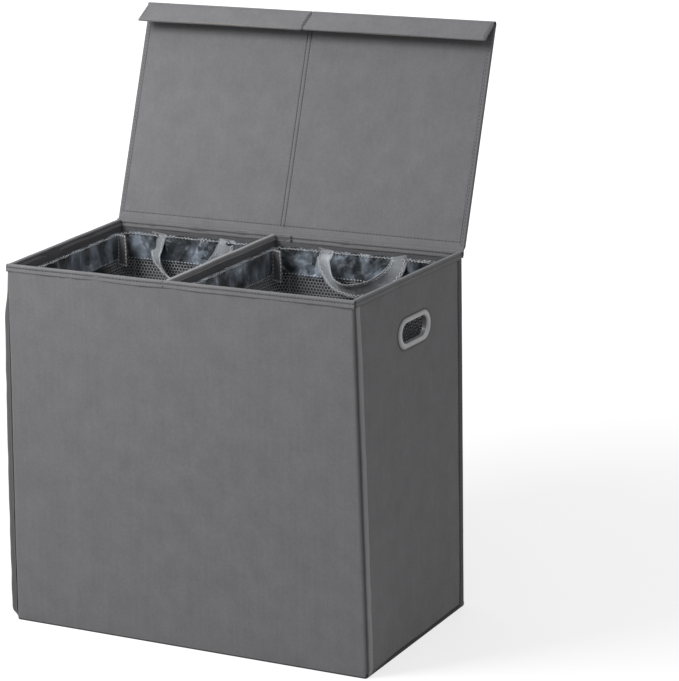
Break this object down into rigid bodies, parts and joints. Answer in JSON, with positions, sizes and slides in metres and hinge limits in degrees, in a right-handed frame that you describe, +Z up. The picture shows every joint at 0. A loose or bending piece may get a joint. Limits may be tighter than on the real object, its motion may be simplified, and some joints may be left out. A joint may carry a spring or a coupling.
{
  "type": "laundry hamper",
  "caption": "Free-standing fabric-covered laundry hamper with side-by-side bins, a fold-back lid with a front flap, and lift-out net liners with strap handles.",
  "frame": {"origin": "on the floor, under the middle of the box", "axes": "+X to the right as seen from the front, +Y to the back, +Z up"},
  "size_m": [0.656, 0.504, 0.966],
  "materials": {
    "cover_fabric": "matte grey non-woven cloth",
    "trim_fabric": "matte grey binding",
    "lining_fabric": "matte dark grey non-woven cloth",
    "board": "plain stiff board, hidden inside the covers",
    "grommet_plastic": "satin grey plastic",
    "liner_nylon": "slightly shiny blue-grey nylon",
    "liner_net": "dark open net",
    "tab_fabric": "dark hook-and-loop tape"
  },
  "bodies": {
    "shell": {"front_cover": "cover_fabric", "front_board": "board", "front_lining": "lining_fabric", "back_cover": "cover_fabric", "back_board": "board", "back_lining": "lining_fabric", "left_cover": "cover_fabric", "left_board": "board", "left_lining": "lining_fabric", "right_cover": "cover_fabric", "right_board": "board", "right_lining": "lining_fabric", "divider_board": "board", "divider_left_cover": "lining_fabric", "divider_right_cover": "lining_fabric", "divider_binding": "trim_fabric", "front_hem": "cover_fabric", "back_hem": "cover_fabric", "left_hem": "cover_fabric", "right_hem": "cover_fabric", "front_left_seam": "trim_fabric", "front_right_seam": "trim_fabric", "back_left_seam": "trim_fabric", "back_right_seam": "trim_fabric", "base_cover": "lining_fabric", "left_base_board": "board", "right_base_board": "board", "left_grommet_outer": "grommet_plastic", "left_grommet_inner": "grommet_plastic", "right_grommet_outer": "grommet_plastic", "right_grommet_inner": "grommet_plastic"},
    "lid": {"lid_cover": "cover_fabric", "lid_lining": "cover_fabric", "lid_left_board": "board", "lid_right_board": "board", "lid_left_binding": "trim_fabric", "lid_right_binding": "trim_fabric", "lid_hinge_strip": "cover_fabric"},
    "flap": {"flap_cover": "cover_fabric", "flap_left_board": "board", "flap_right_board": "board"},
    "left_liner": {"left_liner_cuff": "liner_nylon", "left_liner_net": "liner_net", "left_liner_bottom": "liner_nylon", "left_liner_left_tab": "tab_fabric", "left_liner_right_tab": "tab_fabric"},
    "right_liner": {"right_liner_cuff": "liner_nylon", "right_liner_net": "liner_net", "right_liner_bottom": "liner_nylon", "right_liner_left_tab": "tab_fabric", "right_liner_right_tab": "tab_fabric"},
    "left_back_handle": {"left_liner_back_handle": "liner_nylon"},
    "left_front_handle": {"left_liner_front_handle": "liner_nylon"},
    "right_back_handle": {"right_liner_back_handle": "liner_nylon"},
    "right_front_handle": {"right_liner_front_handle": "liner_nylon"}
  },
  "joints": [
    {"name": "lid_hinge", "type": "hinge", "parent": "shell", "child": "lid", "pos_m": [0, 0.185, 0.6109], "axis": [-1, 0, 0], "range_deg": [-110, 70]},
    {"name": "flap_fold", "type": "hinge", "parent": "lid", "child": "flap", "pos_m": [0, 0.31257, 0.9614], "axis": [1, 0, 0], "range_deg": [-50.1, 31.9]},
    {"name": "left_liner_lift", "type": "slide", "parent": "shell", "child": "left_liner", "axis": [0, 0, 1], "range_m": [0, 0.63]},
    {"name": "right_liner_lift", "type": "slide", "parent": "shell", "child": "right_liner", "axis": [0, 0, 1], "range_m": [0, 0.63]},
    {"name": "left_back_handle_swing", "type": "hinge", "parent": "left_liner", "child": "left_back_handle", "pos_m": [-0.1711, 0.1699, 0.5943], "axis": [-1, 0, 0], "range_deg": [0, 150]},
    {"name": "left_front_handle_swing", "type": "hinge", "parent": "left_liner", "child": "left_front_handle", "pos_m": [-0.1711, -0.1699, 0.5943], "axis": [1, 0, 0], "range_deg": [0, 150]},
    {"name": "right_back_handle_swing", "type": "hinge", "parent": "right_liner", "child": "right_back_handle", "pos_m": [0.1511, 0.1699, 0.5943], "axis": [-1, 0, 0], "range_deg": [0, 150]},
    {"name": "right_front_handle_swing", "type": "hinge", "parent": "right_liner", "child": "right_front_handle", "pos_m": [0.1511, -0.1699, 0.5943], "axis": [1, 0, 0], "range_deg": [0, 150]}
  ],
  "couplings": [
    {"joint": "flap_fold", "follows": "lid_hinge", "ratio": 0.45454}
  ]
}
